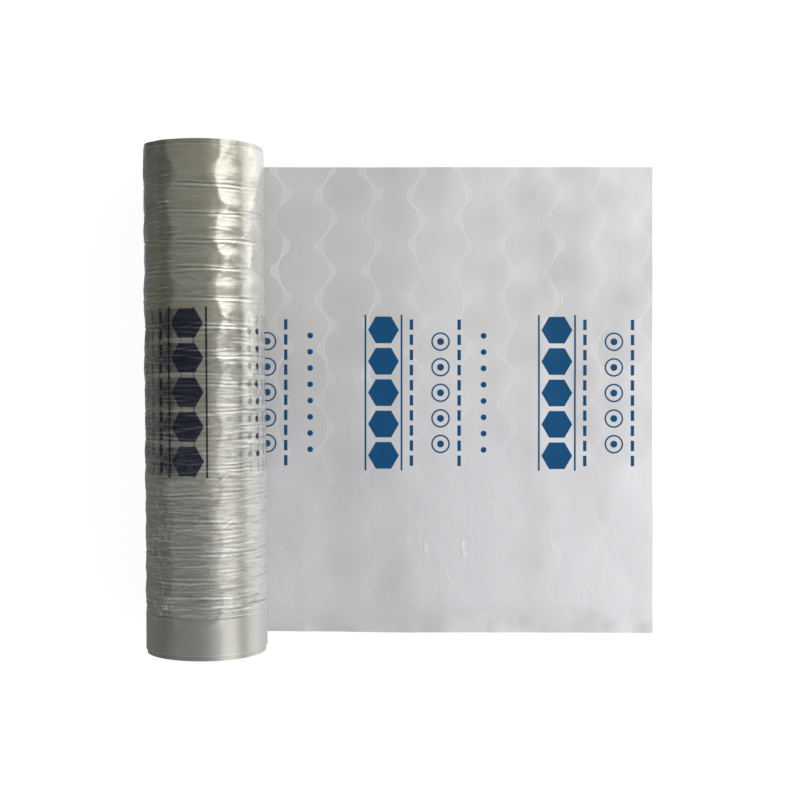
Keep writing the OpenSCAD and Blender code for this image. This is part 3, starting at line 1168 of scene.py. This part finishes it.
def make_sky():
    """A dim surround, white to the camera. It darkens and then brightens towards the roll's ends."""
    world = bpy.data.worlds.new("surround")
    bpy.context.scene.world = world
    world.use_nodes = True
    tree = world.node_tree
    background = tree.nodes["Background"]
    background.inputs["Color"].default_value = (1, 1, 1, 1)
    direction = tree.nodes.new("ShaderNodeTexCoord")
    split = tree.nodes.new("ShaderNodeSeparateXYZ")
    tree.links.new(direction.outputs["Generated"], split.inputs[0])
    x, y, _ = [Number(tree, socket) for socket in split.outputs]
    along_roll = abs(y)
    stretch = tree.nodes.new("ShaderNodeCombineXYZ")
    for entry, socket, share in zip(stretch.inputs, split.outputs, (1.2, 7.0, 1.2)):
        plug(tree, Number(tree, socket) * share, entry)
    uneven = noise(tree, stretch.outputs[0], 1.0, 1.0) * 2.0 - 0.05
    left_dim = ((x + 0.95) * 5.0).limited(0.45)
    dimmed = ((along_roll - 0.3) * 8.0).limited()
    ends = ((along_roll - 0.52) * 6.0).limited()
    light = dimmed * (SKY_DIM - SKY_LIGHT) + ends * (SKY_ENDS - SKY_DIM) + SKY_LIGHT
    light = light * uneven * left_dim
    plug(tree, light.most(seen_directly(tree, 0.0)), background.inputs["Strength"])


make_floor()
make_sky()

# %% Lamps
SOFTBOX_DISTANCE = 1.1
SOFTBOX_LENGTH = 0.45
# The two softboxes: (place along the roll, power).
SOFTBOX_HALVES = ((0.275, 0.5), (-0.175, 0.14))
# Layers of a softbox: (angle from above, width, share of the light).
SOFTBOX_LAYERS = (
    (math.radians(50.0), 0.38, 0.28),
    (math.radians(46.5), 0.62, 0.33),
    (math.radians(41.0), 0.86, 0.31),
)
SIDE_TILT = math.radians(86.5)
SIDE_SHIFT = 0.25
SIDE_SIZE = (0.16, 0.9)
SIDE_POWER = 0.82
END_LAMP_PLACE = (1.0, 0.95, 0.9)
END_LAMP_SIZE = (1.35, 1.35)
END_LAMP_POWER = 12.8
LEFT_LAMP_PLACE = (-0.85, 0.78, 0.43)
LEFT_LAMP_SIZE = (0.3, 0.3)
LEFT_LAMP_POWER = 0.7


def add_lamp(name, place, target, size, power):
    """A rectangular lamp at a place, facing a target. Its second side is level with the floor."""
    data = bpy.data.lights.new(name, "AREA")
    data.shape = "RECTANGLE"
    data.size, data.size_y = size
    data.energy = power
    lamp = bpy.data.objects.new(name, data)
    towards = Vector(target) - Vector(place)
    lamp.location = place
    lamp.rotation_euler = towards.to_track_quat("-Z", "X").to_euler()
    lamp.visible_camera = False
    bpy.context.scene.collection.objects.link(lamp)


def right_of_roll(tilt, shift):
    """A place right of the roll, at this angle from straight above it and shifted along it."""
    across = SOFTBOX_DISTANCE * math.sin(tilt)
    above = SOFTBOX_DISTANCE * math.cos(tilt)
    return AXIS_X + across, shift, AXIS_Z + above


for shift, power in SOFTBOX_HALVES:
    beside = (AXIS_X, shift, AXIS_Z)
    for tilt, width, share in SOFTBOX_LAYERS:
        place = right_of_roll(tilt, shift)
        size = (width, SOFTBOX_LENGTH)
        add_lamp(f"softbox_{shift}_{width}", place, beside, size, power * share * width)
beside = (AXIS_X, SIDE_SHIFT, AXIS_Z)
add_lamp("side_panel", right_of_roll(SIDE_TILT, SIDE_SHIFT), beside, SIDE_SIZE, SIDE_POWER)
roll_middle = (AXIS_X, 0, AXIS_Z)
for side in (-1, 1):
    x, y, z = END_LAMP_PLACE
    add_lamp(f"end_lamp_{side + 1}", (x, side * y, z), (0, 0, 0), END_LAMP_SIZE, END_LAMP_POWER)
    x, y, z = LEFT_LAMP_PLACE
    place = (x, side * y, z)
    add_lamp(f"left_lamp_{side + 1}", place, roll_middle, LEFT_LAMP_SIZE, LEFT_LAMP_POWER)

# %% Colour management
bpy.context.scene.view_settings.view_transform = "Standard"
